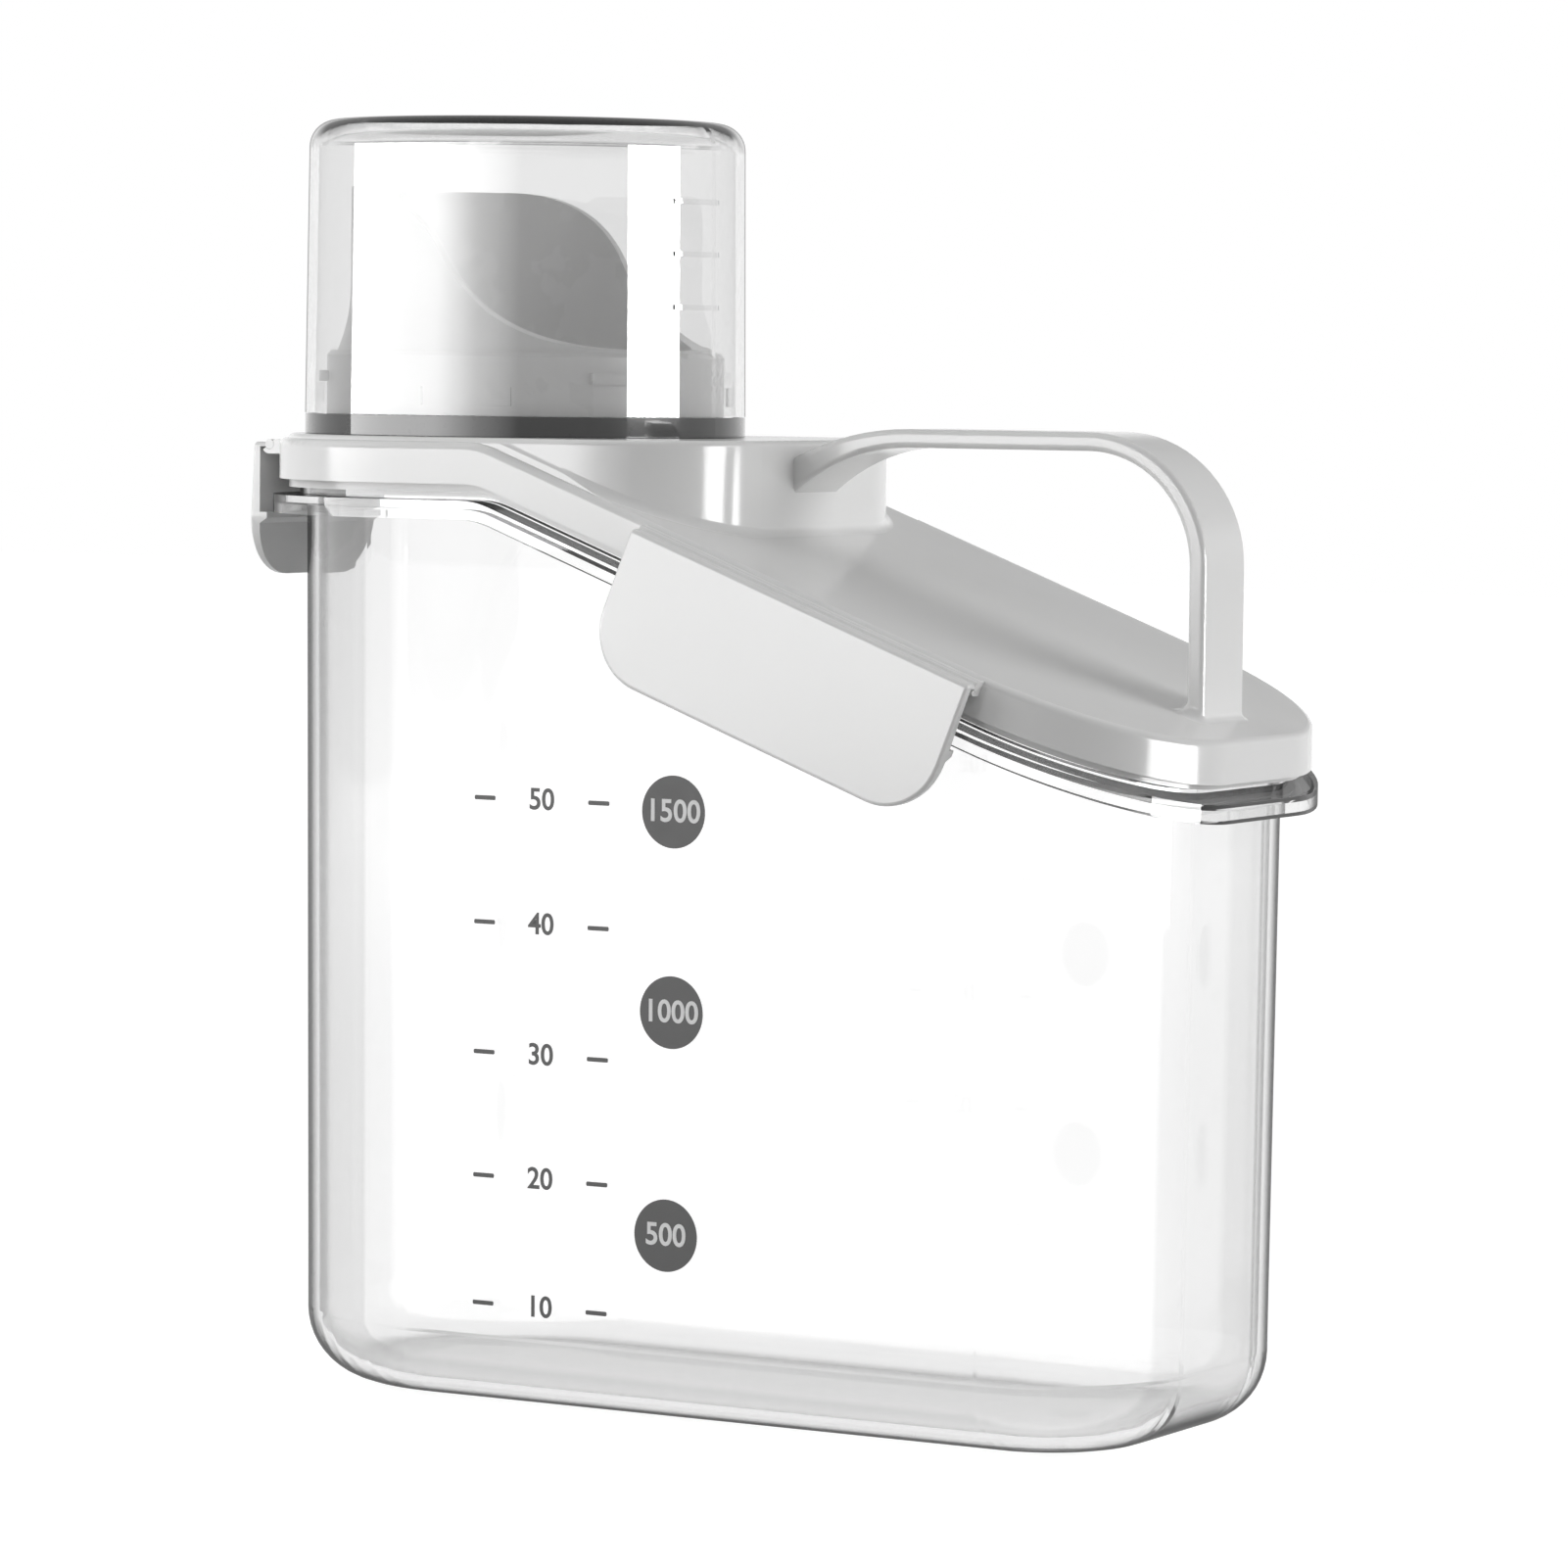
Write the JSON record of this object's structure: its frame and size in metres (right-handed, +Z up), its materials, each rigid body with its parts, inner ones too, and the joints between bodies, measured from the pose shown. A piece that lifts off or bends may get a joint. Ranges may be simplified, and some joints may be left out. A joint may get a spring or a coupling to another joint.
{
  "type": "cereal container",
  "caption": "Clear dry-food tank with a sloping white lid, hinged lock flaps, a carry handle, a pour spout and a clear measuring cup that covers the spout",
  "frame": {"origin": "middle of the tank's flat foot, on the surface it stands on", "axes": "+X along the tank from the spout end to the handle end, +Y across it to the far side, +Z up"},
  "size_m": [0.2026, 0.107, 0.2323],
  "materials": {
    "clear_tank": "clear, glossy",
    "clear_cup": "clear, glossy",
    "white_lid": "satin gloss",
    "white_spout": "satin gloss",
    "white_flap": "satin gloss",
    "dark_silicone": "smooth",
    "dark_print": "printed ink",
    "pale_silicone": "matte"
  },
  "bodies": {
    "container": {"container_body": "clear_tank"},
    "lid": {"lid_cover": "white_lid", "lid_gasket": "pale_silicone", "pour_spout": "white_spout"},
    "front_lock": {"front_flap": "white_flap"},
    "rear_lock": {"rear_flap": "white_flap"},
    "end_lock": {"end_flap": "white_flap"},
    "cup_ring": {"cup_seal": "dark_silicone"},
    "cup": {"measuring_cup": "clear_cup"}
  },
  "joints": [
    {"name": "lid_lift", "type": "slide", "parent": "container", "child": "lid", "axis": [0, 0, 1], "range_m": [0, 0.06]},
    {"name": "front_flap_turn", "type": "hinge", "parent": "lid", "child": "front_lock", "pos_m": [0.03397, -0.0487, 0.1466], "axis": [-0.9361, 0, 0.3518], "range_deg": [-8, 105]},
    {"name": "rear_flap_turn", "type": "hinge", "parent": "lid", "child": "rear_lock", "pos_m": [0.03397, 0.0487, 0.1466], "axis": [0.9361, 0, -0.3518], "range_deg": [-8, 105]},
    {"name": "end_flap_turn", "type": "hinge", "parent": "lid", "child": "end_lock", "pos_m": [-0.0991, 0, 0.1724], "axis": [0, 1, 0], "range_deg": [-8, 105]},
    {"name": "cup_twist", "type": "hinge", "parent": "lid", "child": "cup_ring", "pos_m": [-0.0539, 0, 0.1748], "axis": [0, 0, 1], "range_deg": [0, 45]},
    {"name": "cup_lift", "type": "slide", "parent": "cup_ring", "child": "cup", "axis": [0, 0, 1], "range_m": [0, 0.06]}
  ]
}
